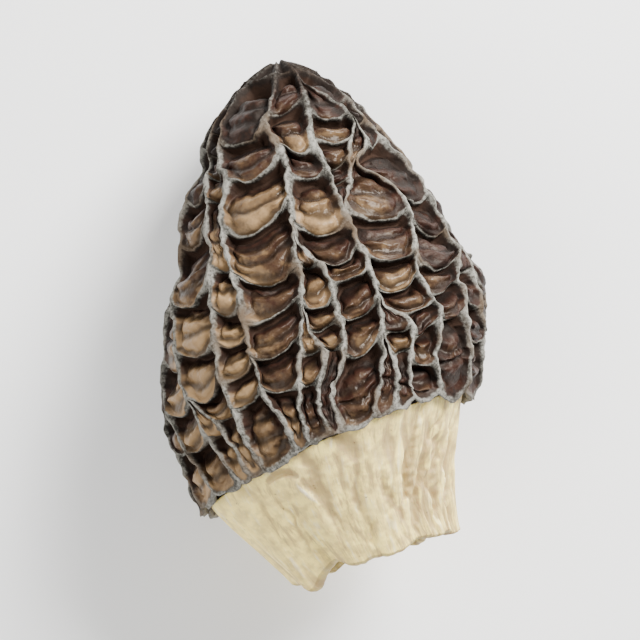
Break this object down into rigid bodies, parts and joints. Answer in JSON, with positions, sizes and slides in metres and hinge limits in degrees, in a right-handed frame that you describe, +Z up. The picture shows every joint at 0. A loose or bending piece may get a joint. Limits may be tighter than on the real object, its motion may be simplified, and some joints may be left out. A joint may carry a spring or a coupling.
{
  "type": "black morel mushroom",
  "caption": "Dried black morel lying on its side: a hollow conical cap netted with long dark ridges round deep brown pits, on the cut stub of a hollow cream stem.",
  "frame": {"origin": "on the surface that the mushroom lies on, at the middle of its outline seen from above", "axes": "+Y from the cut stem towards the tip, +X to the right seen from above, +Z up"},
  "size_m": [0.035, 0.0538, 0.0282],
  "materials": {
    "cap": "dried flesh: velvety grey ridge crests, satin brown pits",
    "stem": "dried fibrous cream flesh, matt, with lengthwise folds"
  },
  "bodies": {
    "root": {"cap": "cap", "stem": "stem"}
  },
  "joints": []
}
